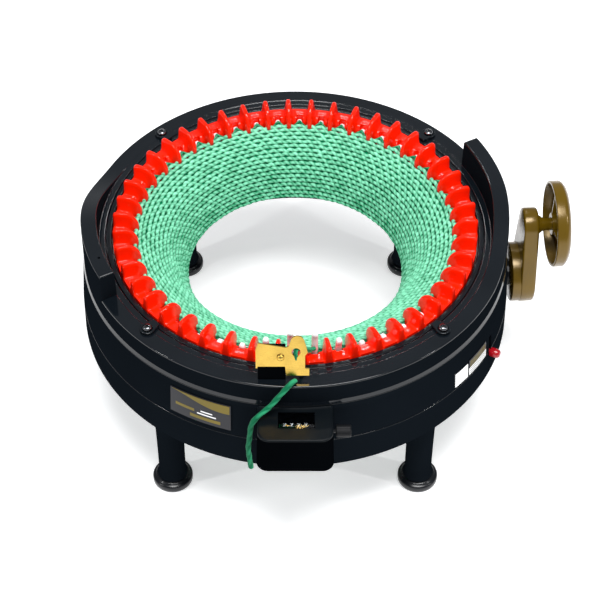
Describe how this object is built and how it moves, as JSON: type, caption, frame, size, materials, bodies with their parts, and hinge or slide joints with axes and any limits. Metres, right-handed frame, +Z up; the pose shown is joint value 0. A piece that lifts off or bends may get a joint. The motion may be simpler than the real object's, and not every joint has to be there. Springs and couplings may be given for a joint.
{
  "type": "circular knitting machine",
  "caption": "Hand-cranked circular knitting machine: a red needle cylinder turns in a round black housing on four legs, with a yarn feeder and a row counter.",
  "frame": {"origin": "centre of the whole machine's box at the height of the feet's undersides; the cylinder's own axis stands at x -0.0218, y 0.0141", "axes": "+Z up along the needle cylinder's axis, +X towards the crank, -Y towards the operator, the yarn feeder and the row counter"},
  "size_m": [0.3788, 0.3632, 0.1957],
  "materials": {
    "black_plastic": "moulded glossy blue-black",
    "dark_plastic": "satin dark grey",
    "red_plastic": "glossy moulded red",
    "white_plastic": "smooth moulded white",
    "bronze_plastic": "satin gold-bronze moulded",
    "brass": "bright rolled sheet",
    "steel": "bright turned",
    "clear_plastic": "clear moulded lens",
    "rubber": "matt black",
    "label": "plain white film",
    "badge": "printed grey film",
    "yarn": "plied wool, mint green"
  },
  "bodies": {
    "frame": {"base_tray": "black_plastic", "side_housing": "black_plastic", "deck_ring": "black_plastic", "retaining_ring": "dark_plastic", "cam_ring": "white_plastic", "leg_front_left": "black_plastic", "leg_rear_left": "black_plastic", "leg_front_right": "black_plastic", "leg_rear_right": "black_plastic", "foot_front_left": "rubber", "foot_rear_left": "rubber", "foot_front_right": "rubber", "foot_rear_right": "rubber", "hold_down_clip_1": "dark_plastic", "hold_down_clip_2": "dark_plastic", "hold_down_clip_3": "dark_plastic", "hold_down_clip_4": "dark_plastic", "clip_screw_1": "steel", "clip_screw_2": "steel", "clip_screw_3": "steel", "clip_screw_4": "steel", "feeder_block": "black_plastic", "feeder_plate": "brass", "feeder_rivet": "brass", "counter_case": "black_plastic", "counter_window": "clear_plastic", "badge_plate": "badge", "rating_label": "label", "shaft_bushing": "brass", "yarn_lead": "yarn"},
    "cylinder": {"needle_crown": "red_plastic", "needle_drum": "white_plastic", "drive_ring": "white_plastic", "knitted_tube": "yarn"},
    "crank": {"drive_pinion": "white_plastic", "crank_shaft": "steel", "crank_arm": "bronze_plastic", "handle_spindle": "bronze_plastic"},
    "handle": {"handle_wheel": "bronze_plastic"},
    "reset_shaft": {"counter_axle": "steel", "reset_knob": "dark_plastic"},
    "trip": {"trip_lever": "white_plastic"},
    "selector": {"selector_lever": "red_plastic", "selector_slide": "white_plastic"},
    "digit_thousands": {"digit_wheel_thousands": "dark_plastic"},
    "digit_hundreds": {"digit_wheel_hundreds": "dark_plastic"},
    "digit_tens": {"digit_wheel_tens": "dark_plastic"},
    "digit_units": {"digit_wheel_units": "dark_plastic"},
    "needle_01": {"needle_01": "white_plastic"},
    "needle_02": {"needle_02": "white_plastic"},
    "needle_03": {"needle_03": "white_plastic"},
    "needle_04": {"needle_04": "white_plastic"},
    "needle_05": {"needle_05": "white_plastic"},
    "needle_06": {"needle_06": "white_plastic"},
    "needle_07": {"needle_07": "white_plastic"},
    "needle_08": {"needle_08": "white_plastic"},
    "needle_09": {"needle_09": "white_plastic"},
    "needle_10": {"needle_10": "white_plastic"},
    "needle_11": {"needle_11": "white_plastic"},
    "needle_12": {"needle_12": "white_plastic"}
  },
  "joints": [
    {"name": "cylinder_spin", "type": "hinge", "parent": "frame", "child": "cylinder", "pos_m": [-0.02179, 0.01405, 0.118], "axis": [0, 0, 1], "continuous": true},
    {"name": "crank_spin", "type": "hinge", "parent": "frame", "child": "crank", "pos_m": [0.15288, 0.02473, 0.101], "axis": [0.9981, 0.061, 0], "continuous": true},
    {"name": "handle_spin", "type": "hinge", "parent": "crank", "child": "handle", "pos_m": [0.18183, 0.0265, 0.1517], "axis": [0.9981, 0.061, 0], "continuous": true},
    {"name": "count_thousands", "type": "hinge", "parent": "frame", "child": "digit_thousands", "pos_m": [-0.02944, -0.16415, 0.1295], "axis": [1, 0, 0], "continuous": true},
    {"name": "count_hundreds", "type": "hinge", "parent": "frame", "child": "digit_hundreds", "pos_m": [-0.02434, -0.16415, 0.1295], "axis": [1, 0, 0], "continuous": true},
    {"name": "count_tens", "type": "hinge", "parent": "frame", "child": "digit_tens", "pos_m": [-0.01924, -0.16415, 0.1295], "axis": [1, 0, 0], "continuous": true},
    {"name": "count_units", "type": "hinge", "parent": "frame", "child": "digit_units", "pos_m": [-0.01414, -0.16415, 0.1295], "axis": [1, 0, 0], "continuous": true},
    {"name": "reset_spin", "type": "hinge", "parent": "frame", "child": "reset_shaft", "pos_m": [0.01271, -0.16415, 0.1295], "axis": [1, 0, 0], "continuous": true},
    {"name": "trip_rock", "type": "hinge", "parent": "frame", "child": "trip", "pos_m": [-0.02179, -0.14395, 0.096], "axis": [1, 0, 0], "range_deg": [-4, 0], "stiffness_Nm_per_rad": 0.01},
    {"name": "selector_lift", "type": "slide", "parent": "frame", "child": "selector", "axis": [0, 0, 1], "range_m": [0, 0.013]},
    {"name": "needle_slide_01", "type": "slide", "parent": "cylinder", "child": "needle_01", "axis": [0, 0, 1], "range_m": [0, 0.0242]},
    {"name": "needle_slide_02", "type": "slide", "parent": "cylinder", "child": "needle_02", "axis": [0, 0, 1], "range_m": [-0.003, 0.0212]},
    {"name": "needle_slide_03", "type": "slide", "parent": "cylinder", "child": "needle_03", "axis": [0, 0, 1], "range_m": [-0.0135, 0.0107]},
    {"name": "needle_slide_04", "type": "slide", "parent": "cylinder", "child": "needle_04", "axis": [0, 0, 1], "range_m": [-0.0224, 0.0018]},
    {"name": "needle_slide_05", "type": "slide", "parent": "cylinder", "child": "needle_05", "axis": [0, 0, 1], "range_m": [-0.0208, 0.0034]},
    {"name": "needle_slide_06", "type": "slide", "parent": "cylinder", "child": "needle_06", "axis": [0, 0, 1], "range_m": [-0.0105, 0.0137]},
    {"name": "needle_slide_07", "type": "slide", "parent": "cylinder", "child": "needle_07", "axis": [0, 0, 1], "range_m": [-0.0019, 0.0223]},
    {"name": "needle_slide_08", "type": "slide", "parent": "cylinder", "child": "needle_08", "axis": [0, 0, 1], "range_m": [0, 0.0242]},
    {"name": "needle_slide_09", "type": "slide", "parent": "cylinder", "child": "needle_09", "axis": [0, 0, 1], "range_m": [0, 0.0242]},
    {"name": "needle_slide_10", "type": "slide", "parent": "cylinder", "child": "needle_10", "axis": [0, 0, 1], "range_m": [0, 0.0242]},
    {"name": "needle_slide_11", "type": "slide", "parent": "cylinder", "child": "needle_11", "axis": [0, 0, 1], "range_m": [0, 0.0242]},
    {"name": "needle_slide_12", "type": "slide", "parent": "cylinder", "child": "needle_12", "axis": [0, 0, 1], "range_m": [0, 0.0242]}
  ],
  "couplings": [
    {"joint": "crank_spin", "follows": "cylinder_spin", "ratio": 7.6667},
    {"joint": "count_thousands", "follows": "cylinder_spin", "ratio": 0.0001},
    {"joint": "count_hundreds", "follows": "cylinder_spin", "ratio": 0.001},
    {"joint": "count_tens", "follows": "cylinder_spin", "ratio": 0.01},
    {"joint": "count_units", "follows": "cylinder_spin", "ratio": 0.1}
  ]
}
